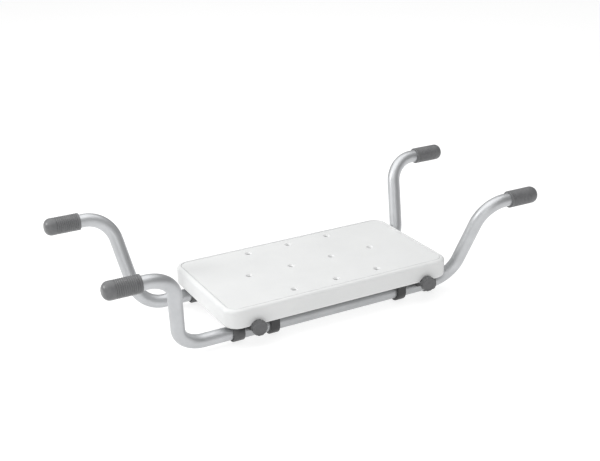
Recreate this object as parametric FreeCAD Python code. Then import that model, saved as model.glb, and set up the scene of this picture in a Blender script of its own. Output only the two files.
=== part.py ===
import FreeCAD, Part
import math
import os

# Seat board that hangs across a bath from four bent arms.  Each arm slides in
# one end of a rail under the seat and is held there by a hand knob.
# X runs across the bath, -Y is the front, +Z is up.  Lengths are millimetres.

V = FreeCAD.Vector
X_DIR = V(1, 0, 0)
Y_DIR = V(0, 1, 0)
CENTRE = V(0, 0, 0)

# Heights in the functions are measured from the rails' axis.

# How far cutting shapes run past the surface they cut
PAST = 1.0

# Seat board: a flat panel inside a rolled rim, with a narrow groove between
SEAT_LENGTH = 415.0
SEAT_WIDTH = 223.4
SEAT_RIM = 50.3
SEAT_TOP = 50.0
SEAT_BOTTOM = 17.3
SEAT_CORNER = 24.0
SEAT_EDGE_ROUND = 6.0
SEAT_FOOT_ROUND = 6.0
RIM_INSET = 6.8
GROOVE_INSET = 7.9
GROOVE_Z = 49.0
PANEL_INSET = 8.9
SEAT_WALL = 3.2
SEAT_TOP_WALL = 4.0
LIP_WIDTH = 10.5

# Drain holes: three, four and three in staggered rows
HOLE_PITCH_X = 78.2
HOLE_ROW_Y = 83.3
HOLE_R = 3.8
HOLE_MOUTH_R = 5.9
HOLE_MOUTH_DEPTH = 2.4

# Ribs under the seat
RIB_THICK = 2.6
RIB_BOTTOM = 30.0
CROSS_RIBS = (20.0, 58.5, 98.0, 142.0, 178.0)
LONG_RIBS = (28.0, 64.0)
RIB_ROOT = 0.5
PAD_HALF_X = 22.0
PAD_HALF_Y = 14.0

# Rails
RAIL_Y = 81.6
RAIL_R = 12.7
RAIL_BORE_R = 11.5
RAIL_HALF = 183.0
RAIL_SAW_LENGTH = 46.0
RAIL_SAW_WIDTH = 2.4

# Saddles that hold the rails to the seat
SADDLE_X = 120.5
SADDLE_WIDTH = 15.6
SADDLE_R = 16.9
SADDLE_TOP = 26.0
LUG_WIDTH = 34.0
LUG_REACH = 36.0
LUG_THICK = 6.0
LUG_ROUND = 5.0
SCREW_X = 11.5
SCREW_Y = 27.0
SCREW_R = 1.9
SCREW_HEAD_R = 3.6
SCREW_HEAD_THICK = 2.4
SCREW_HEAD_ROUND = 1.0
SCREW_CROSS_LONG = 2.2
SCREW_CROSS_HALF = 0.45
SCREW_CROSS_DEEP = 1.3
SCREW_PLAY = 0.2
SCREW_DEPTH = 10.0
SCREW_HOLE_SPARE = 1.0
PILLAR_R = 5.0

# End sleeves on the rails
SLEEVE_IN = 172.8
SLEEVE_OUT = 192.4
SLEEVE_R = 14.9
SLEEVE_GUIDE_R = 11.2
SLEEVE_FLARE_X = 187.4
SLEEVE_FLARE_R = 12.6
SLEEVE_CHAMFER = 1.0

# Clamp jaws over the rails; the inner jaw hooks under its rail
CLAMP_X = 158.9
JAW_WIDTH = 15.0
JAW_OUTER_R = 16.4
JAW_OUTER_BOTTOM = 4.5
JAW_INNER_BOTTOM = -9.0
JAW_TOP = 28.0
JAW_HEEL = 24.5
JAW_GAP = 3.0
JAW_HEEL_GAP = 0.4
STUD_Z = 16.8
STUD_R = 3.0
STUD_HOLE_R = 3.3
STUD_PAST_NUT = 1.5
NUT_ACROSS_FLATS = 10.0
NUT_THICK = 4.0
NUT_BORE_R = 3.05
NUT_PLAY = 0.1

# Hand knobs
KNOB_R = 12.7
KNOB_DEPTH = 10.4
KNOB_BACK = 112.1
KNOB_FACE_WALL = 4.0
KNOB_HUB_R = 5.5
KNOB_FLUTES = 12
KNOB_FLUTE_R = 1.5
KNOB_FLUTE_OUT = 0.75
KNOB_ROUND = 1.6
KNOB_DISH_RIM = 3.2
KNOB_DISH_DEPTH = 0.6
WASHER_R = 6.6
WASHER_THICK = 1.2
WASHER_GAP = 0.1
NOTCH_R = 14.8
NOTCH_Z = 13.0

# Arms
ARM_R = 11.1
ARM_WALL = 1.5
ARM_INNER_X = 30.0
ARM_CORNER_X = 229.3
ARM_LEAN_X = 25.0
ARM_SPLAY_Y = 56.9
ARM_RISE = 146.7
ARM_BEND_R = 48.0
ARM_END_X = 352.0
PULL_LEFT = 50.0
PULL_RIGHT = 0.0
PULL_LIMIT = 80.0

# Inner glide and stop pin on each arm
GLIDE_R = 11.4
GLIDE_LENGTH = 14.0
GLIDE_SPIGOT = 12.0
GLIDE_BORE_R = 6.0
GLIDE_CHAMFER = 1.2
PIN_X = 54.0
PIN_R = 2.4
PIN_REACH = 12.2
PIN_SLOT_R = 2.8
PIN_SLOT_SPARE = 0.4

# Hand grips
GRIP_IN = 303.4
GRIP_OUT = 360.7
GRIP_R = 14.2
GRIP_DOME_R = 11.0
GRIP_GROOVES = 12
GRIP_GROOVE_PITCH = 3.1
GRIP_GROOVE_DEPTH = 0.7
GRIP_GROOVE_SLOPE = 0.4
GRIP_GROOVE_FLOOR = 0.6
GRIP_BAND = 3.5
GRIP_EDGE = 0.6
FIT = 0.02

# The base frame's origin is under the middle of the whole bench, at the
# level of the lowest point of the saddles.
SHIFT = V((PULL_LEFT - PULL_RIGHT) / 2, 0, SADDLE_R)

SIDES = (("left", -1, PULL_LEFT), ("right", 1, PULL_RIGHT))
ROWS = (("front", -1), ("rear", 1))

os.makedirs("parts", exist_ok=True)


def box(x0, x1, y0, y1, z0, z1):
    return Part.makeBox(x1 - x0, y1 - y0, z1 - z0, V(x0, y0, z0))


def rod(radius, start, end):
    return Part.makeCylinder(radius, (end - start).Length, start, end - start)


def along_x(radius, x0, x1, y=RAIL_Y, z=0.0):
    return rod(radius, V(x0, y, z), V(x1, y, z))


def upright_edges(shape):
    return [e for e in shape.Edges if abs(e.tangentAt(e.FirstParameter).z) > 0.9]


def rounded_slab(length, width, corner, z0, z1):
    slab = box(-length / 2, length / 2, -width / 2, width / 2, z0, z1)
    return slab.makeFillet(corner, upright_edges(slab))


def edges_at(shape, height):
    found = []
    for edge in shape.Edges:
        bounds = edge.BoundBox
        if abs(bounds.ZMin - height) < 0.01 and abs(bounds.ZMax - height) < 0.01:
            found.append(edge)
    return found


def quadrant(shape, side, row):
    """Copy a piece made for the right rear to another corner of the bench."""
    if side < 0:
        shape = shape.mirror(CENTRE, X_DIR)
    if row < 0:
        shape = shape.mirror(CENTRE, Y_DIR)
    return shape


def save(name, shape):
    shape = shape.copy()
    shape.translate(SHIFT)
    shape.exportStep("parts/" + name + ".step")
    print(name, "solids", len(shape.Solids), "volume", round(shape.Volume, 1), shape.isValid())


def hole_places():
    outer = [(i * HOLE_PITCH_X, j * HOLE_ROW_Y) for i in (-1, 0, 1) for j in (-1, 1)]
    middle = [(i * HOLE_PITCH_X, 0.0) for i in (-1.5, -0.5, 0.5, 1.5)]
    return outer + middle


def outline(inset, height):
    """Closed outline of the board, inset from its edge, at a height."""
    slab = rounded_slab(SEAT_LENGTH - 2 * inset, SEAT_WIDTH - 2 * inset,
                        SEAT_CORNER - inset, height, height + PAST)
    return Part.Wire(Part.__sortEdges__(edges_at(slab, height)))


def seat_shell():
    """Board with a rolled skirt, open underneath inside a turned-in lip."""
    body = rounded_slab(SEAT_LENGTH, SEAT_WIDTH, SEAT_CORNER, SEAT_BOTTOM, SEAT_RIM)
    body = body.makeFillet(SEAT_EDGE_ROUND, edges_at(body, SEAT_RIM))
    body = body.makeFillet(SEAT_FOOT_ROUND, edges_at(body, SEAT_BOTTOM))
    groove = outline(GROOVE_INSET, GROOVE_Z)
    dish = Part.makeLoft([groove, outline(RIM_INSET, SEAT_RIM)], True, True)
    panel = Part.makeLoft([groove, outline(PANEL_INSET, SEAT_TOP)], True, True)
    ceiling = SEAT_TOP - SEAT_TOP_WALL
    floor = SEAT_BOTTOM + SEAT_WALL
    inside = rounded_slab(SEAT_LENGTH - 2 * SEAT_WALL, SEAT_WIDTH - 2 * SEAT_WALL,
                          SEAT_CORNER - SEAT_WALL, floor, ceiling)
    inside = inside.makeFillet(SEAT_EDGE_ROUND - SEAT_WALL, edges_at(inside, ceiling))
    inside = inside.makeFillet(SEAT_FOOT_ROUND - SEAT_WALL, edges_at(inside, floor))
    window = rounded_slab(SEAT_LENGTH - 2 * LIP_WIDTH, SEAT_WIDTH - 2 * LIP_WIDTH,
                          SEAT_CORNER - LIP_WIDTH, SEAT_BOTTOM - PAST, floor + PAST)
    return body.cut(dish).fuse(panel).cut(inside).cut(window)


def seat_ribs():
    top = SEAT_TOP - SEAT_TOP_WALL + RIB_ROOT
    half = RIB_THICK / 2
    ribs = []
    for x in CROSS_RIBS:
        for sx in (-1, 1):
            ribs.append(box(sx * x - half, sx * x + half,
                            -SEAT_WIDTH / 2, SEAT_WIDTH / 2, RIB_BOTTOM, top))
    for y in LONG_RIBS:
        for sy in (-1, 1):
            ribs.append(box(-SEAT_LENGTH / 2, SEAT_LENGTH / 2,
                            sy * y - half, sy * y + half, RIB_BOTTOM, top))
    for sx in (-1, 1):
        for sy in (-1, 1):
            x = sx * SADDLE_X
            y = sy * RAIL_Y
            ribs.append(box(x - half, x + half, y - PAD_HALF_Y, y + PAD_HALF_Y, SADDLE_TOP, top))
            ribs.append(box(x - PAD_HALF_X, x + PAD_HALF_X, y - half, y + half, SADDLE_TOP, top))
            for dx in (-SCREW_X, SCREW_X):
                foot = V(x + dx, sy * (RAIL_Y - SCREW_Y), SADDLE_TOP)
                ribs.append(Part.makeCylinder(PILLAR_R, top - SADDLE_TOP, foot))
    first = ribs[0].multiFuse(ribs[1:])
    limit = rounded_slab(SEAT_LENGTH - SEAT_WALL, SEAT_WIDTH - SEAT_WALL,
                         SEAT_CORNER - SEAT_WALL / 2, SADDLE_TOP, top)
    return first.common(limit)


def seat_cuts():
    cuts = []
    for x, y in hole_places():
        cuts.append(Part.makeCylinder(HOLE_R, SEAT_TOP - RIB_BOTTOM + 2 * PAST, V(x, y, RIB_BOTTOM - PAST)))
        cuts.append(Part.makeCone(HOLE_R, HOLE_MOUTH_R, HOLE_MOUTH_DEPTH,
                                  V(x, y, SEAT_TOP - HOLE_MOUTH_DEPTH)))
    for sx in (-1, 1):
        for sy in (-1, 1):
            x = sx * CLAMP_X
            inner = sy * (SEAT_WIDTH / 2 - LIP_WIDTH - PAST)
            outer = sy * (SEAT_WIDTH / 2 + PAST)
            low = min(inner, outer)
            high = max(inner, outer)
            cuts.append(rod(NOTCH_R, V(x, low, NOTCH_Z), V(x, high, NOTCH_Z)))
            for dx in (-SCREW_X, SCREW_X):
                foot = V(sx * SADDLE_X + dx, sy * (RAIL_Y - SCREW_Y), SADDLE_TOP - PAST)
                cuts.append(Part.makeCylinder(SCREW_R, SCREW_DEPTH + SCREW_HOLE_SPARE + PAST, foot))
    return cuts


def make_seat():
    board = seat_shell().fuse(seat_ribs()).removeSplitter()
    for cut in seat_cuts():
        board = board.cut(cut)
    return board


def make_rail():
    rail = along_x(RAIL_R, -RAIL_HALF, RAIL_HALF).cut(along_x(RAIL_BORE_R, -RAIL_HALF, RAIL_HALF))
    for sx in (-1, 1):
        ends = sorted((sx * RAIL_HALF, sx * (RAIL_HALF - RAIL_SAW_LENGTH)))
        saw = box(ends[0], ends[1], RAIL_Y - RAIL_SAW_WIDTH / 2, RAIL_Y + RAIL_SAW_WIDTH / 2,
                  RAIL_BORE_R - PAST, RAIL_R + PAST)
        first = PIN_X - PIN_SLOT_SPARE
        last = PIN_X + PULL_LIMIT + PIN_SLOT_SPARE
        near = RAIL_Y - RAIL_R - PAST
        far = RAIL_Y - RAIL_BORE_R + PAST
        slot = box(min(sx * first, sx * last), max(sx * first, sx * last), near, far,
                   -PIN_SLOT_R, PIN_SLOT_R)
        for x in (sx * first, sx * last):
            slot = slot.fuse(rod(PIN_SLOT_R, V(x, near, 0), V(x, far, 0)))
        rail = rail.cut(saw).cut(slot)
    return rail


def make_saddle():
    x0 = SADDLE_X - SADDLE_WIDTH / 2
    x1 = SADDLE_X + SADDLE_WIDTH / 2
    body = along_x(SADDLE_R, x0, x1)
    body = body.fuse(box(x0, x1, RAIL_Y - SADDLE_R, RAIL_Y + SADDLE_R, 0, SADDLE_TOP))
    lug = box(SADDLE_X - LUG_WIDTH / 2, SADDLE_X + LUG_WIDTH / 2, RAIL_Y - LUG_REACH,
              RAIL_Y - SADDLE_R + PAST, SADDLE_TOP - LUG_THICK, SADDLE_TOP)
    free = [e for e in upright_edges(lug) if e.BoundBox.YMax < RAIL_Y - SADDLE_R]
    body = body.fuse(lug.makeFillet(LUG_ROUND, free)).removeSplitter()
    body = body.cut(along_x(RAIL_R, x0 - PAST, x1 + PAST))
    for dx in (-SCREW_X, SCREW_X):
        foot = V(SADDLE_X + dx, RAIL_Y - SCREW_Y, SADDLE_TOP - LUG_THICK - PAST)
        body = body.cut(Part.makeCylinder(SCREW_R + SCREW_PLAY, LUG_THICK + 2 * PAST, foot))
    return body


def make_saddle_screw(x, y):
    under = SADDLE_TOP - LUG_THICK
    shank = Part.makeCylinder(SCREW_R, LUG_THICK + SCREW_DEPTH, V(x, y, under))
    face = under - SCREW_HEAD_THICK
    head = Part.makeCylinder(SCREW_HEAD_R, SCREW_HEAD_THICK, V(x, y, face))
    head = head.makeFillet(SCREW_HEAD_ROUND, edges_at(head, face))
    long = SCREW_CROSS_LONG
    half = SCREW_CROSS_HALF
    for half_x, half_y in ((long, half), (half, long)):
        head = head.cut(box(x - half_x, x + half_x, y - half_y, y + half_y,
                            face - PAST, face + SCREW_CROSS_DEEP))
    return shank.fuse(head)


def make_sleeve():
    body = along_x(SLEEVE_R, SLEEVE_IN, SLEEVE_OUT)
    rims = [e for e in body.Edges if e.BoundBox.XLength < 0.01]
    body = body.makeChamfer(SLEEVE_CHAMFER, rims)
    body = body.cut(along_x(RAIL_R, SLEEVE_IN - PAST, RAIL_HALF))
    body = body.cut(along_x(SLEEVE_GUIDE_R, RAIL_HALF - PAST, SLEEVE_OUT))
    flare = Part.makeCone(SLEEVE_GUIDE_R, SLEEVE_FLARE_R, SLEEVE_OUT - SLEEVE_FLARE_X,
                          V(SLEEVE_FLARE_X, RAIL_Y, 0), X_DIR)
    return body.cut(flare)


def hexagon(across_flats, y0, y1, x, z):
    corner = across_flats / math.sqrt(3)
    points = []
    for i in range(7):
        turn = math.radians(60 * i)
        points.append(V(x + corner * math.cos(turn), y0, z + corner * math.sin(turn)))
    return Part.Face(Part.makePolygon(points)).extrude(V(0, y1 - y0, 0))


def make_jaws():
    """Outer and inner halves of the clamp that closes the sawn rail end."""
    x0 = CLAMP_X - JAW_WIDTH / 2
    x1 = CLAMP_X + JAW_WIDTH / 2
    near = x0 - PAST
    far = x1 + PAST
    back = RAIL_Y - JAW_OUTER_R
    front = RAIL_Y + JAW_OUTER_R
    under = -JAW_OUTER_R - PAST
    body = along_x(JAW_OUTER_R, x0, x1).fuse(box(x0, x1, back, front, 0, JAW_TOP))
    body = body.cut(along_x(RAIL_R, near, far))
    body = body.cut(box(near, far, RAIL_Y, front + PAST, under, JAW_OUTER_BOTTOM))
    body = body.cut(box(near, far, back - PAST, RAIL_Y, under, JAW_INNER_BOTTOM))
    body = body.cut(box(near, far, RAIL_Y - JAW_GAP / 2, RAIL_Y + JAW_GAP / 2, 0, JAW_HEEL))
    body = body.cut(box(near, far, RAIL_Y - JAW_HEEL_GAP / 2, RAIL_Y + JAW_HEEL_GAP / 2,
                        JAW_HEEL - PAST, JAW_TOP + PAST))
    body = body.cut(rod(STUD_HOLE_R, V(CLAMP_X, back - PAST, STUD_Z), V(CLAMP_X, front + PAST, STUD_Z)))
    body = body.cut(hexagon(NUT_ACROSS_FLATS + 2 * NUT_PLAY, back - PAST,
                            back + NUT_THICK + NUT_PLAY, CLAMP_X, STUD_Z))
    halves = sorted(body.Solids, key=lambda s: s.CenterOfMass.y)
    return halves[1], halves[0]


def make_nut():
    back = RAIL_Y - JAW_OUTER_R
    nut = hexagon(NUT_ACROSS_FLATS, back, back + NUT_THICK, CLAMP_X, STUD_Z)
    bore = rod(NUT_BORE_R, V(CLAMP_X, back - PAST, STUD_Z), V(CLAMP_X, back + NUT_THICK + PAST, STUD_Z))
    return nut.cut(bore)


def make_stud():
    inner = RAIL_Y - JAW_OUTER_R - STUD_PAST_NUT
    outer = KNOB_BACK + KNOB_DEPTH - KNOB_FACE_WALL
    return rod(STUD_R, V(CLAMP_X, inner, STUD_Z), V(CLAMP_X, outer, STUD_Z))


def hub_end():
    return RAIL_Y + JAW_OUTER_R + WASHER_THICK + 2 * WASHER_GAP


def make_washer():
    near = RAIL_Y + JAW_OUTER_R + WASHER_GAP
    start = V(CLAMP_X, near, STUD_Z)
    end = V(CLAMP_X, near + WASHER_THICK, STUD_Z)
    return rod(WASHER_R, start, end).cut(rod(STUD_HOLE_R, start, end))


def make_knob():
    face = KNOB_BACK + KNOB_DEPTH
    head = rod(KNOB_R, V(CLAMP_X, KNOB_BACK, STUD_Z), V(CLAMP_X, face, STUD_Z))
    rims = [e for e in head.Edges if e.BoundBox.YLength < 0.01]
    head = head.makeFillet(KNOB_ROUND, rims)
    for i in range(KNOB_FLUTES):
        turn = 2 * math.pi * (i + 0.5) / KNOB_FLUTES
        reach = KNOB_R + KNOB_FLUTE_OUT
        x = CLAMP_X + reach * math.cos(turn)
        z = STUD_Z + reach * math.sin(turn)
        head = head.cut(rod(KNOB_FLUTE_R, V(x, KNOB_BACK - PAST, z), V(x, face + PAST, z)))
    dish = rod(KNOB_R - KNOB_DISH_RIM, V(CLAMP_X, face - KNOB_DISH_DEPTH, STUD_Z),
               V(CLAMP_X, face + PAST, STUD_Z))
    hub = rod(KNOB_HUB_R, V(CLAMP_X, hub_end(), STUD_Z), V(CLAMP_X, KNOB_BACK + PAST, STUD_Z))
    knob = head.cut(dish).fuse(hub).removeSplitter()
    bore_end = face - KNOB_FACE_WALL
    return knob.cut(rod(STUD_R, V(CLAMP_X, hub_end() - PAST, STUD_Z), V(CLAMP_X, bore_end, STUD_Z)))


def arm_path():
    """Centreline: level leg, lower bend, riser, upper bend, level hand end."""
    foot = V(ARM_CORNER_X, RAIL_Y, 0)
    rise = V(ARM_LEAN_X, ARM_SPLAY_Y, ARM_RISE)
    head = foot + rise
    up = V(rise).normalize()
    turn = X_DIR.getAngle(up)
    reach = ARM_BEND_R * math.tan(turn / 2)
    half = turn / 2
    gap = ARM_BEND_R * (1 / math.cos(half) - 1)
    bisect = (up - X_DIR).normalize()
    start = V(ARM_INNER_X, RAIL_Y, 0)
    end = V(ARM_END_X, head.y, head.z)
    low_in = foot - X_DIR * reach
    low_out = foot + up * reach
    high_in = head - up * reach
    high_out = head + X_DIR * reach
    edges = [
        Part.LineSegment(start, low_in).toShape(),
        Part.Arc(low_in, foot + bisect * gap, low_out).toShape(),
        Part.LineSegment(low_out, high_in).toShape(),
        Part.Arc(high_in, head - bisect * gap, high_out).toShape(),
        Part.LineSegment(high_out, end).toShape(),
    ]
    length = sum(e.Length for e in edges)
    return Part.Wire(edges), start, length


def make_arm():
    path, start, length = arm_path()
    outer = Part.Wire(Part.makeCircle(ARM_R, start, X_DIR))
    inner = Part.Wire(Part.makeCircle(ARM_R - ARM_WALL, start, X_DIR))
    solid = path.makePipeShell([outer], True, True)
    hollow = path.makePipeShell([inner], True, True)
    tube = solid.cut(hollow)
    ring = math.pi * (ARM_R ** 2 - (ARM_R - ARM_WALL) ** 2)
    print("arm tube volume ratio", round(tube.Volume / (ring * length), 4))
    hole = rod(PIN_R, V(PIN_X, RAIL_Y - ARM_R - PAST, 0), V(PIN_X, RAIL_Y - ARM_R + ARM_WALL + PAST, 0))
    return tube.cut(hole)


def make_glide():
    glide = along_x(GLIDE_R, ARM_INNER_X - GLIDE_LENGTH, ARM_INNER_X)
    rims = [e for e in glide.Edges if e.BoundBox.XMax < ARM_INNER_X - PAST]
    glide = glide.makeChamfer(GLIDE_CHAMFER, rims)
    spigot = along_x(ARM_R - ARM_WALL - FIT, ARM_INNER_X - PAST, ARM_INNER_X + GLIDE_SPIGOT)
    bore = along_x(GLIDE_BORE_R, ARM_INNER_X - GLIDE_LENGTH - PAST, ARM_INNER_X + GLIDE_SPIGOT + PAST)
    return glide.fuse(spigot).removeSplitter().cut(bore)


def make_pin():
    return rod(PIN_R, V(PIN_X, RAIL_Y - PIN_REACH, 0), V(PIN_X, RAIL_Y - ARM_R + ARM_WALL, 0))


def make_grip():
    """Ribbed sleeve with a domed, closed outer end."""
    y = RAIL_Y + ARM_SPLAY_Y
    z = ARM_RISE
    deep = GRIP_R - GRIP_GROOVE_DEPTH
    points = [V(GRIP_IN, y, 0), V(GRIP_IN, y, GRIP_R - GRIP_EDGE), V(GRIP_IN + GRIP_EDGE, y, GRIP_R)]
    for i in range(GRIP_GROOVES):
        x = GRIP_IN + GRIP_BAND + i * GRIP_GROOVE_PITCH
        points.append(V(x, y, GRIP_R))
        points.append(V(x + GRIP_GROOVE_SLOPE, y, deep))
        points.append(V(x + GRIP_GROOVE_SLOPE + GRIP_GROOVE_FLOOR, y, deep))
        points.append(V(x + 2 * GRIP_GROOVE_SLOPE + GRIP_GROOVE_FLOOR, y, GRIP_R))
    dome_x = GRIP_OUT - GRIP_DOME_R
    points.append(V(dome_x, y, GRIP_R))
    flat_r = GRIP_R - GRIP_DOME_R
    slant = GRIP_DOME_R * math.sqrt(0.5)
    mid = V(dome_x + slant, y, flat_r + slant)
    tip = V(GRIP_OUT, y, flat_r)
    edges = [Part.LineSegment(a, b).toShape() for a, b in zip(points, points[1:])]
    edges.append(Part.Arc(points[-1], mid, tip).toShape())
    edges.append(Part.LineSegment(tip, V(GRIP_OUT, y, 0)).toShape())
    edges.append(Part.LineSegment(V(GRIP_OUT, y, 0), points[0]).toShape())
    profile = Part.Face(Part.Wire(edges))
    body = profile.revolve(V(GRIP_IN, y, 0), X_DIR, 360)
    body = body.cut(along_x(ARM_R + FIT, GRIP_IN - PAST, ARM_END_X + FIT, y, 0))
    body.translate(V(0, 0, z))
    return body


def slide_out(shape, pull):
    moved = shape.copy()
    moved.translate(V(pull, 0, 0))
    return moved


def main():
    save("seat_board", make_seat())
    rail = make_rail()
    saddle = make_saddle()
    sleeve = make_sleeve()
    outer_jaw, inner_jaw = make_jaws()
    nut = make_nut()
    stud = make_stud()
    knob = make_knob()
    washer = make_washer()
    arm = make_arm()
    glide = make_glide()
    pin = make_pin()
    grip = make_grip()
    screws = []
    nuts = []
    for row_name, row in ROWS:
        save("rail_" + row_name, quadrant(rail, 1, row))
    for side_name, side, pull in SIDES:
        for row_name, row in ROWS:
            place = "_" + side_name + "_" + row_name
            save("saddle" + place, quadrant(saddle, side, row))
            save("sleeve" + place, quadrant(sleeve, side, row))
            save("clamp_outer_jaw" + place, quadrant(outer_jaw, side, row))
            save("clamp_inner_jaw" + place, quadrant(inner_jaw, side, row))
            save("knob" + place, quadrant(knob, side, row))
            save("knob_stud" + place, quadrant(stud, side, row))
            save("knob_washer" + place, quadrant(washer, side, row))
            save("arm" + place, quadrant(slide_out(arm, pull), side, row))
            save("arm_glide" + place, quadrant(slide_out(glide, pull), side, row))
            save("arm_stop_pin" + place, quadrant(slide_out(pin, pull), side, row))
            save("grip" + place, quadrant(slide_out(grip, pull), side, row))
            nuts.append(quadrant(nut, side, row))
            for dx in (-SCREW_X, SCREW_X):
                screw = make_saddle_screw(SADDLE_X + dx, RAIL_Y - SCREW_Y)
                screws.append(quadrant(screw, side, row))
    save("saddle_screws", Part.makeCompound(screws))
    save("clamp_nuts", Part.makeCompound(nuts))


main()
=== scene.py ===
import math
import bpy
import bmesh
from mathutils import Matrix, Vector


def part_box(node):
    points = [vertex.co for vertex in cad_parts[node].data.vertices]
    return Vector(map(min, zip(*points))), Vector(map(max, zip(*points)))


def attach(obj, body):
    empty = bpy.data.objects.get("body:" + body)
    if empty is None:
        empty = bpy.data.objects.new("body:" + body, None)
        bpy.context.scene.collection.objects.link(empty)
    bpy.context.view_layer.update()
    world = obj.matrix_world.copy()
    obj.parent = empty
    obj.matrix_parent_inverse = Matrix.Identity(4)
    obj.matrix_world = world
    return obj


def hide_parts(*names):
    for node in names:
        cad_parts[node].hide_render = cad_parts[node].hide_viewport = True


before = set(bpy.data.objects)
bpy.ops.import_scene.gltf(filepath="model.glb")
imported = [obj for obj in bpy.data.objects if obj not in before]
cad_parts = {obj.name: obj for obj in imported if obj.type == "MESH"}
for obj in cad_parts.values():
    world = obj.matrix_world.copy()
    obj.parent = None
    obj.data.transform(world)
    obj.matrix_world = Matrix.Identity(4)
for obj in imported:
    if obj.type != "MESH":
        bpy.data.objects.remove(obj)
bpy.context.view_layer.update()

# Each finish runs between two close colours.  The steel's two are plain grey levels.
BOARD_DARK = (0.69, 0.697, 0.695, 1)
BOARD_LIGHT = (0.72, 0.726, 0.724, 1)
# Painted shade: the grey laid into the board's creases and hollows.
BOARD_CREASE_SHADE = (0.43, 0.435, 0.435, 1)
ARM_DARK = (0.50, 0.509, 0.52, 1)
ARM_LIGHT = (0.555, 0.564, 0.575, 1)
# Painted shade: the rail is the arms' aluminium made darker, standing in for the shade under the seat
# board.
RAIL_SHADED_DARK = (0.43, 0.438, 0.446, 1)
RAIL_SHADED_LIGHT = (0.48, 0.488, 0.496, 1)
STEEL_DARK = 0.45
STEEL_LIGHT = 0.58
POLYMER_IOR = 1.49
ROUGH_SPREAD = 0.06

# Sizes that the nodes' boxes don't give, in metres
# Painted shade: how far the board's occlusion darkening reaches.
CREASE_SHADE_REACH = 0.004
ARM_R = 0.0111
ARM_INNER_X = 0.030
ARM_WALL = 0.0015
ARM_CORNER_X = 0.2293
ARM_LEAN_X = 0.025
ARM_BEND_R = 0.048
GRIP_EDGE_R = 0.0009
GRIP_PLAIN = 0.004
GRIP_BAND = 0.0035
GRIP_PITCH = 0.0031
GRIP_GROOVE_WIDTH = 0.0021
GRIP_GROOVE_DEPTH = 0.0009
GRIP_DOME_R = 0.011
KNOB_BACK_Y = 0.1121
KNOB_STUD_R = 0.0034
KNOB_HUB_R = 0.0055
KNOB_ROUND = 0.0016
KNOB_LOBE_DEPTH = 0.0008
KNOB_DISH_RIM = 0.0032
KNOB_DISH_DEPTH = 0.0006
KNOB_LIP = 0.0008
KNOB_PIP_R = 0.0032
TINY_R = 0.0004
WELD_GAP = 1e-6

# Ribs and lobes as counted in the photograph, and how sharp the cuts between the lobes are
GRIP_GROOVES = 12
KNOB_LOBES = 12
LOBE_SHARPNESS = 3

# How finely the pieces are meshed: sides round an axis, steps round a curve, metres along a run
ARM_SIDES = 56
GRIP_SIDES = 80
KNOB_SIDES = 144
BEND_STEPS = 26
EDGE_STEPS = 5
KNOB_STEPS = 6
DOME_STEPS = 16
GRIP_RIB_STEPS = 10
SOFT_STEPS = 2
RUN_STEP = 0.012

# Edges that turn by more than this many degrees are cut or moulded edges.
SHARP_ANGLE = 50

# CAD pieces whose edges are rounded: the start of the node's name, and the width in metres
SOFT_EDGES = (("saddle_left", 0.0006), ("saddle_right", 0.0006), ("sleeve_", 0.0005),
              ("clamp_outer", 0.0005), ("clamp_inner", 0.0005))
SIDES = (("left", -1), ("right", 1))
ROWS = (("front", -1), ("rear", 1))

# The studio: each light's name, place, aim, width in metres and watts
LIGHTS = (("ceiling", (-0.3, 0.3, 1.9), (0, 0, 0.1), 3.2, 48),
          ("left", (-2.0, -0.6, 1.6), (0, 0, 0.1), 1.4, 5),
          ("key", (-1.85, 0.8, 0.98), (-0.1, 0, 0.1), 0.4, 14),
          ("front", (-1.05, -2.2, 0.9), (0, 0, 0.1), 1.7, 10))
WORLD_STRENGTH = 0.36

# The floor, with its size and the gap under the saddles in metres
FLOOR_HALF = 12.0
FLOOR_DROP = 0.0005
FLOOR_GREY = (0.3, 0.3, 0.3, 1)
FLOOR_GLOW = 0.80
FLOOR_ROUGHNESS = 0.8

# The camera as fitted to the photograph: metres, degrees, and millimetres for lens and sensor
CAMERA_PLACE = (-0.7801, -1.4395, 0.7914)
CAMERA_TURN = -28.583
CAMERA_DOWN = 22.073
CAMERA_ROLL = -0.864
CAMERA_LENS = 63.68
CAMERA_SENSOR = 36.0


# ---------------------------------------------------------------- materials

def new_material(name):
    """A material with its node tree and its main shader."""
    material = bpy.data.materials.new(name)
    material.use_nodes = True
    tree = material.node_tree
    shader = tree.nodes["Principled BSDF"]
    return material, tree, shader


def node(tree, kind, **values):
    """A new shader node with its settings."""
    made = tree.nodes.new(kind)
    for key, value in values.items():
        setattr(made, key, value)
    return made


def place_coords(tree, scale):
    """Object coordinates, in metres times scale."""
    coords = node(tree, "ShaderNodeTexCoord")
    mapping = node(tree, "ShaderNodeMapping")
    mapping.inputs["Scale"].default_value = scale
    tree.links.new(coords.outputs["Object"], mapping.inputs["Vector"])
    return mapping.outputs["Vector"]


def noise(tree, vector, scale, detail, roughness):
    """Noise between 0 and 1."""
    made = node(tree, "ShaderNodeTexNoise")
    made.inputs["Scale"].default_value = scale
    made.inputs["Detail"].default_value = detail
    made.inputs["Roughness"].default_value = roughness
    tree.links.new(vector, made.inputs["Vector"])
    return made.outputs["Fac"]


def ramp(tree, source, low, high, start=0.3, end=0.7):
    """Carry a value that runs from start to end over to the range low to high."""
    made = node(tree, "ShaderNodeMapRange")
    made.inputs["From Min"].default_value = start
    made.inputs["From Max"].default_value = end
    made.inputs["To Min"].default_value = low
    made.inputs["To Max"].default_value = high
    tree.links.new(source, made.inputs["Value"])
    return made.outputs["Result"]


def mix_colours(tree, factor, first, second):
    """The first colour where the factor is 0, the second where it is 1."""
    made = node(tree, "ShaderNodeMix", data_type="RGBA")
    made.inputs["A"].default_value = first
    made.inputs["B"].default_value = second
    tree.links.new(factor, made.inputs["Factor"])
    return made.outputs["Result"]


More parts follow.
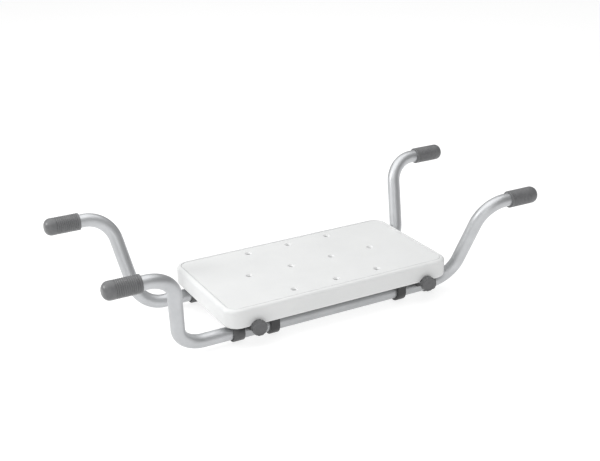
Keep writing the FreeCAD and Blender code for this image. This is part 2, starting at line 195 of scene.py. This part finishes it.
def bump(tree, height, strength, distance, after=None):
    """Relief from a height, laid over the relief in after when there is one."""
    made = node(tree, "ShaderNodeBump")
    made.inputs["Strength"].default_value = strength
    made.inputs["Distance"].default_value = distance
    tree.links.new(height, made.inputs["Height"])
    if after is not None:
        tree.links.new(after, made.inputs["Normal"])
    return made.outputs["Normal"]


def grey(value):
    """A neutral grey with the least blue in it."""
    return (0.99 * value, value, 1.025 * value, 1.0)


def board_material():
    """White moulded polymer: faint mottling, a fine stipple, slow waves, and painted shade that greys
    its creases and hollows where an occlusion node finds them hemmed in.
    """
    material, tree, shader = new_material("board_white")
    vector = place_coords(tree, (1, 1, 1))
    mottle = noise(tree, vector, scale=14.0, detail=4.0, roughness=0.6)
    colour = mix_colours(tree, ramp(tree, mottle, low=0.0, high=1.0), BOARD_DARK, BOARD_LIGHT)
    # Painted shade: an occlusion node darkens the board's colour in its creases and hollows.
    crease_occlusion = node(tree, "ShaderNodeAmbientOcclusion", samples=8, only_local=True)
    crease_occlusion.inputs["Distance"].default_value = CREASE_SHADE_REACH
    painted_crease_shade = node(tree, "ShaderNodeMix", data_type="RGBA")
    painted_crease_shade.inputs["B"].default_value = BOARD_CREASE_SHADE
    depth = ramp(tree, crease_occlusion.outputs["AO"], low=1.0, high=0.0, start=0.35, end=0.85)
    tree.links.new(depth, painted_crease_shade.inputs["Factor"])
    tree.links.new(colour, painted_crease_shade.inputs["A"])
    tree.links.new(painted_crease_shade.outputs["Result"], shader.inputs["Base Color"])
    patches = noise(tree, vector, scale=60.0, detail=3.0, roughness=0.6)
    tree.links.new(ramp(tree, patches, low=0.36, high=0.46), shader.inputs["Roughness"])
    stipple = noise(tree, vector, scale=1400.0, detail=2.0, roughness=0.5)
    waves = noise(tree, vector, scale=45.0, detail=2.0, roughness=0.4)
    first = bump(tree, waves, strength=0.10, distance=0.0008)
    relief = bump(tree, stipple, strength=0.16, distance=0.0002, after=first)
    tree.links.new(relief, shader.inputs["Normal"])
    shader.inputs["IOR"].default_value = POLYMER_IOR
    return material


def tube_material(name, dark, light, source, across, along):
    """Satin anodised aluminium with fine drawn lines along the tube and faint clouding."""
    material, tree, shader = new_material(name)
    coords = node(tree, "ShaderNodeTexCoord")
    mapping = node(tree, "ShaderNodeMapping")
    scale = (across, along, 1) if source == "UV" else (along, across, across)
    mapping.inputs["Scale"].default_value = scale
    tree.links.new(coords.outputs[source], mapping.inputs["Vector"])
    lines = noise(tree, mapping.outputs["Vector"], scale=1.0, detail=4.0, roughness=0.65)
    cloud = noise(tree, place_coords(tree, (1, 1, 1)), scale=38.0, detail=3.0, roughness=0.5)
    colour = mix_colours(tree, ramp(tree, cloud, low=0.0, high=1.0), dark, light)
    tree.links.new(colour, shader.inputs["Base Color"])
    tree.links.new(ramp(tree, lines, low=0.42, high=0.54), shader.inputs["Roughness"])
    tree.links.new(bump(tree, lines, strength=0.12, distance=0.0001), shader.inputs["Normal"])
    shader.inputs["Metallic"].default_value = 1.0
    return material


def plastic_material(name, dark, light, rough, grain):
    """Moulded nylon or rubber with spark-eroded grain and handling marks."""
    material, tree, shader = new_material(name)
    vector = place_coords(tree, (1, 1, 1))
    patches = noise(tree, vector, scale=90.0, detail=4.0, roughness=0.6)
    colour = mix_colours(tree, ramp(tree, patches, low=0.0, high=1.0), grey(dark), grey(light))
    tree.links.new(colour, shader.inputs["Base Color"])
    sheen = ramp(tree, patches, low=rough - ROUGH_SPREAD, high=rough + ROUGH_SPREAD)
    tree.links.new(sheen, shader.inputs["Roughness"])
    stipple = noise(tree, vector, scale=grain, detail=2.0, roughness=0.5)
    tree.links.new(bump(tree, stipple, strength=0.25, distance=0.0002), shader.inputs["Normal"])
    return material


def steel_material():
    """Stainless fixings with turned marks."""
    material, tree, shader = new_material("fixing_steel")
    lines = noise(tree, place_coords(tree, (500, 3000, 500)), scale=1.0, detail=3.0, roughness=0.6)
    factor = ramp(tree, lines, low=0.0, high=1.0)
    colour = mix_colours(tree, factor, grey(STEEL_DARK), grey(STEEL_LIGHT))
    tree.links.new(colour, shader.inputs["Base Color"])
    tree.links.new(ramp(tree, lines, low=0.25, high=0.4), shader.inputs["Roughness"])
    tree.links.new(bump(tree, lines, strength=0.1, distance=0.00005), shader.inputs["Normal"])
    shader.inputs["Metallic"].default_value = 1.0
    return material


BOARD = board_material()
# Painted shade: the rail's darker copy of the arms' aluminium.
RAIL_SHADED = tube_material("rail_aluminium_shaded", RAIL_SHADED_DARK, RAIL_SHADED_LIGHT, "Object", across=1800, along=20)
ARM = tube_material("arm_aluminium", ARM_DARK, ARM_LIGHT, "UV", across=110, along=20)
GRIP = plastic_material("grip_rubber", dark=0.125, light=0.15, rough=0.36, grain=1600.0)
SLEEVE = plastic_material("sleeve_nylon", dark=0.07, light=0.085, rough=0.45, grain=1800.0)
SADDLE = plastic_material("saddle_nylon", dark=0.026, light=0.034, rough=0.42, grain=1800.0)
CLAMP = plastic_material("clamp_nylon", dark=0.06, light=0.072, rough=0.5, grain=1800.0)
KNOB = plastic_material("knob_plastic", dark=0.10, light=0.118, rough=0.42, grain=1800.0)
GLIDE = plastic_material("glide_nylon", dark=0.045, light=0.055, rough=0.5, grain=1800.0)
STEEL = steel_material()

FINISH = {
    "seat_board": BOARD,
    "rail": RAIL_SHADED,
    "arm_glide": GLIDE,
    "arm_stop": STEEL,
    "arm": ARM,
    "grip": GRIP,
    "sleeve": SLEEVE,
    "saddle_screws": STEEL,
    "saddle": SADDLE,
    "clamp_nuts": STEEL,
    "clamp": CLAMP,
    "knob_stud": STEEL,
    "knob_washer": STEEL,
    "knob": KNOB,
}


def finish_for(name):
    """The finish whose start of a name fits best, which is the longest that fits."""
    best = ""
    for start in FINISH:
        if name.startswith(start) and len(start) > len(best):
            best = start
    return FINISH[best]


for name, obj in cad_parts.items():
    if len(obj.data.materials) == 0:
        obj.data.materials.append(finish_for(name))
    for i in range(len(obj.data.materials)):
        obj.data.materials[i] = finish_for(name)


# ------------------------------------------------------------------ pieces

def ring_piece(name, rings, closed_ends, metres_v):
    """Skin rings of points into one smooth mesh, with metres round and along as its UVs."""
    mesh = bmesh.new()
    uv = mesh.loops.layers.uv.new("along")
    rows = []
    for points in rings:
        rows.append([mesh.verts.new(p) for p in points])
    count = len(rings[0])
    step = 1.0 / count
    for a in range(len(rows) - 1):
        for i in range(count):
            j = (i + 1) % count
            face = mesh.faces.new((rows[a][i], rows[a][j], rows[a + 1][j], rows[a + 1][i]))
            face.smooth = True
            crease_occlusion = ((i * step, metres_v[a]), ((i + 1) * step, metres_v[a]),
                       ((i + 1) * step, metres_v[a + 1]), (i * step, metres_v[a + 1]))
            for loop, corner in zip(face.loops, crease_occlusion):
                loop[uv].uv = corner
    if closed_ends:
        for row in (list(reversed(rows[0])), rows[-1]):
            mesh.faces.new(row).smooth = True
    bmesh.ops.recalc_face_normals(mesh, faces=mesh.faces[:])
    data = bpy.data.meshes.new(name)
    mesh.to_mesh(data)
    mesh.free()
    obj = bpy.data.objects.new(name, data)
    bpy.context.collection.objects.link(obj)
    return obj


def finish_piece(obj, material, body, node_name):
    """Give a piece its finish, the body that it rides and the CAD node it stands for."""
    obj.data.materials.append(material)
    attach(obj, body)
    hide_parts(node_name)


def run_points(start, end, spacing):
    """Points along a straight run, without its end."""
    count = max(2, int((end - start).length / spacing))
    return [start.lerp(end, i / count) for i in range(count)]


def bend_points(before, corner, after, radius, count):
    """Arc that rounds the corner between two straight runs."""
    into = (corner - before).normalized()
    out = (after - corner).normalized()
    turn = into.angle(out)
    reach = radius * math.tan(turn / 2)
    start = corner - into * reach
    inward = (out - into).normalized()
    centre = corner + inward * (radius / math.cos(turn / 2))
    axis = into.cross(out)
    points = []
    for i in range(count + 1):
        points.append(centre + Matrix.Rotation(turn * i / count, 3, axis) @ (start - centre))
    return points


def sweep_rings(path, radius, count):
    """Rings square to a path, turned with it so that they never twist."""
    rings = []
    side = Vector((0, 0, 1))
    for i, point in enumerate(path):
        ahead = path[min(i + 1, len(path) - 1)] - path[max(i - 1, 0)]
        ahead.normalize()
        side = (side - ahead * side.dot(ahead)).normalized()
        other = ahead.cross(side)
        ring = []
        for k in range(count):
            turn = 2 * math.pi * k / count
            ring.append(point + (side * math.cos(turn) + other * math.sin(turn)) * radius)
        rings.append(ring)
    return rings


def mark_sharp(obj):
    """Join the seam where the skin meets itself, and keep the cut ends crisp."""
    mesh = bmesh.new()
    mesh.from_mesh(obj.data)
    bmesh.ops.remove_doubles(mesh, verts=mesh.verts[:], dist=WELD_GAP)
    for edge in mesh.edges:
        if len(edge.link_faces) == 2 and edge.calc_face_angle(0) > math.radians(SHARP_ANGLE):
            edge.smooth = False
    mesh.to_mesh(obj.data)
    mesh.free()


def lathe_rings(profile, origin, outward, count, shape=None):
    """Rings round an axis.  Each profile entry is (distance along, radius); shape cuts into it."""
    outward = Vector(outward)
    up = Vector((0, 0, 1))
    across = outward.cross(up)
    rings = []
    for distance, radius in profile:
        ring = []
        for k in range(count):
            turn = 2 * math.pi * k / count
            r = radius - (shape(turn, radius) if shape else 0.0)
            spoke = up * math.cos(turn) + across * math.sin(turn)
            ring.append(origin + outward * distance + spoke * r)
        rings.append(ring)
    return rings


def profile_lengths(profile):
    """How far along the profile each of its points lies."""
    lengths = [0.0]
    for a, b in zip(profile, profile[1:]):
        lengths.append(lengths[-1] + math.hypot(b[0] - a[0], b[1] - a[1]))
    return lengths


def rounded_corner(x, r, radius, first, last, steps):
    """Profile points round a corner whose arc centre is (x, r); angles in degrees from outward."""
    points = []
    for i in range(steps + 1):
        turn = math.radians(first + (last - first) * i / steps)
        points.append((x + radius * math.cos(turn), r + radius * math.sin(turn)))
    return points


def make_arm(side_name, side, row_name):
    """Bent tube: outside, open ends and bore, swept along two runs, two bends and the run between."""
    place = side_name + "_" + row_name
    low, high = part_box("arm_" + place)
    rail_low, rail_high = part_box("rail_" + row_name)
    grip_low, grip_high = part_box("grip_" + place)
    axis_y = (rail_low[1] + rail_high[1]) / 2
    axis_z = (rail_low[2] + rail_high[2]) / 2
    hand_y = (grip_low[1] + grip_high[1]) / 2
    hand_z = (grip_low[2] + grip_high[2]) / 2
    inner_x = low[0] if side > 0 else high[0]
    outer_x = high[0] if side > 0 else low[0]
    foot_x = inner_x + side * (ARM_CORNER_X - ARM_INNER_X)
    inner = Vector((inner_x, axis_y, axis_z))
    foot = Vector((foot_x, axis_y, axis_z))
    head = Vector((foot_x + side * ARM_LEAN_X, hand_y, hand_z))
    outer = Vector((outer_x, hand_y, hand_z))
    lower = bend_points(inner, foot, head, ARM_BEND_R, BEND_STEPS)
    upper = bend_points(foot, head, outer, ARM_BEND_R, BEND_STEPS)
    path = run_points(inner, lower[0], RUN_STEP) + lower
    path += run_points(lower[-1], upper[0], RUN_STEP)[1:] + upper
    path += run_points(upper[-1], outer, RUN_STEP)[1:] + [outer]
    along = [0.0]
    for a, b in zip(path, path[1:]):
        along.append(along[-1] + (b - a).length)
    outside = sweep_rings(path, ARM_R, ARM_SIDES)
    inside = sweep_rings(path, ARM_R - ARM_WALL, ARM_SIDES)
    rings = outside + list(reversed(inside)) + [outside[0]]
    along = along + list(reversed(along)) + [0.0]
    obj = ring_piece("arm_tube_" + place, rings, False, along)
    mark_sharp(obj)
    finish_piece(obj, ARM, "arm_body_" + place, "arm_" + place)


def make_grip(side_name, side, row_name):
    """Ribbed rubber grip: inner bead, rounded ribs, smooth domed end."""
    place = side_name + "_" + row_name
    low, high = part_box("grip_" + place)
    length = high[0] - low[0]
    radius = (high[2] - low[2]) / 2
    origin = Vector((low[0] if side > 0 else high[0], (low[1] + high[1]) / 2, (low[2] + high[2]) / 2))
    profile = [(0.0, ARM_R), (0.0, radius - 2 * GRIP_EDGE_R)]
    profile += rounded_corner(GRIP_EDGE_R, radius - GRIP_EDGE_R, GRIP_EDGE_R, 180, 90, EDGE_STEPS)
    for i in range(GRIP_GROOVES):
        start = GRIP_BAND + i * GRIP_PITCH
        for k in range(GRIP_RIB_STEPS + 1):
            t = k / GRIP_RIB_STEPS
            dip = GRIP_GROOVE_DEPTH * (1 - math.cos(2 * math.pi * t)) / 2
            profile.append((start + t * GRIP_GROOVE_WIDTH, radius - dip))
    dome_x = length - GRIP_DOME_R
    profile.append((dome_x - GRIP_PLAIN, radius))
    dome = rounded_corner(dome_x, radius - GRIP_DOME_R, GRIP_DOME_R, 90, 0, DOME_STEPS)
    profile += dome[:-1] + [(length, radius - GRIP_DOME_R), (length, TINY_R)]
    rings = lathe_rings(profile, origin, (side, 0, 0), GRIP_SIDES)
    obj = ring_piece("ribbed_grip_" + place, rings, True, profile_lengths(profile))
    finish_piece(obj, GRIP, "arm_body_" + place, "grip_" + place)


def make_knob(side_name, side, row_name, row):
    """Hand knob with scalloped lobes, a dished face and a hub."""
    place = side_name + "_" + row_name
    low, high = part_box("knob_" + place)
    radius = (high[2] - low[2]) / 2
    near = min(abs(low[1]), abs(high[1]))
    far = max(abs(low[1]), abs(high[1]))
    origin = Vector(((low[0] + high[0]) / 2, row * near, (low[2] + high[2]) / 2))
    back = KNOB_BACK_Y - near
    face = far - near
    lip = KNOB_LIP
    profile = [(0.0, KNOB_STUD_R), (0.0, KNOB_HUB_R - TINY_R), (TINY_R, KNOB_HUB_R)]
    profile += [(back - lip, KNOB_HUB_R), (back - 0.25 * lip, KNOB_HUB_R + 0.375 * lip)]
    profile.append((back, KNOB_HUB_R + 1.25 * lip))
    inner = radius - KNOB_ROUND
    profile += rounded_corner(back + KNOB_ROUND, inner, KNOB_ROUND, 180, 90, KNOB_STEPS)
    profile += [(back + 0.35 * (face - back), radius), (back + 0.65 * (face - back), radius)]
    profile += rounded_corner(face - KNOB_ROUND, inner, KNOB_ROUND, 90, 0, KNOB_STEPS)
    dish = radius - KNOB_DISH_RIM
    dip = KNOB_DISH_DEPTH
    profile += [(face, dish + lip), (face - dip / 6, dish + 0.4 * lip), (face - 0.5 * dip, dish)]
    profile += [(face - 0.9 * dip, dish - 0.5 * lip), (face - dip, dish - lip)]
    profile += [(face - dip, KNOB_PIP_R), (face - 0.6 * dip, KNOB_PIP_R - 0.75 * lip)]
    profile.append((face - 0.5 * dip, TINY_R))

    def lobes(turn, ring_radius):
        """How deep the lobes are cut, which fades out towards the dish."""
        weight = min(1.0, max(0.0, (ring_radius - dish - lip) / (radius - dish - lip)))
        wave = 0.5 + 0.5 * math.cos(KNOB_LOBES * turn)
        return KNOB_LOBE_DEPTH * weight * wave ** LOBE_SHARPNESS

    rings = lathe_rings(profile, origin, (0, row, 0), KNOB_SIDES, lobes)
    obj = ring_piece("lobed_knob_" + place, rings, True, profile_lengths(profile))
    finish_piece(obj, KNOB, "knob_body_" + place, "knob_" + place)


def soften(name, width):
    """Small rounded edges on a moulded or cut CAD piece."""
    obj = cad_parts[name]
    weld = obj.modifiers.new("weld", "WELD")
    weld.merge_threshold = WELD_GAP
    bevel = obj.modifiers.new("edge", "BEVEL")
    bevel.width = width
    bevel.segments = SOFT_STEPS
    bevel.limit_method = "ANGLE"
    bevel.angle_limit = math.radians(SHARP_ANGLE)


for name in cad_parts:
    for start, width in SOFT_EDGES:
        if name.startswith(start):
            soften(name, width)

for side_name, side in SIDES:
    for row_name, row in ROWS:
        make_arm(side_name, side, row_name)
        make_grip(side_name, side, row_name)
        make_knob(side_name, side, row_name, row)


# ------------------------------------------------------------------- stage

def make_floor():
    """A wide pale floor that glows a little, so that it meets the background without a line."""
    mesh = bpy.data.meshes.new("studio_floor")
    crease_occlusion = [(x * FLOOR_HALF, y * FLOOR_HALF, 0) for x, y in ((-1, -1), (1, -1), (1, 1), (-1, 1))]
    mesh.from_pydata(crease_occlusion, [], [(0, 1, 2, 3)])
    obj = bpy.data.objects.new("studio_floor", mesh)
    bpy.context.collection.objects.link(obj)
    obj.location.z = -FLOOR_DROP
    material, _, shader = new_material("floor_pale")
    shader.inputs["Base Color"].default_value = FLOOR_GREY
    shader.inputs["Roughness"].default_value = FLOOR_ROUGHNESS
    shader.inputs["Emission Color"].default_value = (1, 1, 1, 1)
    shader.inputs["Emission Strength"].default_value = FLOOR_GLOW
    mesh.materials.append(material)


def area_light(name, place, target, size, power):
    """A square softbox that faces its target."""
    data = bpy.data.lights.new(name, "AREA")
    data.shape = "SQUARE"
    data.size = size
    data.energy = power
    obj = bpy.data.objects.new(name, data)
    bpy.context.collection.objects.link(obj)
    obj.location = place
    obj.rotation_euler = (Vector(target) - Vector(place)).to_track_quat("-Z", "Y").to_euler()


def make_world():
    """Even white light from all round."""
    world = bpy.data.worlds.new("studio")
    world.use_nodes = True
    bpy.context.scene.world = world
    background = world.node_tree.nodes["Background"]
    background.inputs["Color"].default_value = (1, 1, 1, 1)
    background.inputs["Strength"].default_value = WORLD_STRENGTH


def make_camera():
    """Turned about the vertical, then tilted down, then rolled a little."""
    data = bpy.data.cameras.new("camera")
    data.sensor_width = CAMERA_SENSOR
    data.lens = CAMERA_LENS
    obj = bpy.data.objects.new("camera", data)
    bpy.context.collection.objects.link(obj)
    turn = Matrix.Rotation(math.radians(CAMERA_TURN), 4, "Z")
    tilt = Matrix.Rotation(math.radians(90 - CAMERA_DOWN), 4, "X")
    roll = Matrix.Rotation(math.radians(CAMERA_ROLL), 4, "Z")
    obj.matrix_world = Matrix.Translation(CAMERA_PLACE) @ turn @ tilt @ roll
    bpy.context.scene.camera = obj


make_floor()
make_world()
for light in LIGHTS:
    area_light(*light)
make_camera()
bpy.context.scene.view_settings.view_transform = "Standard"
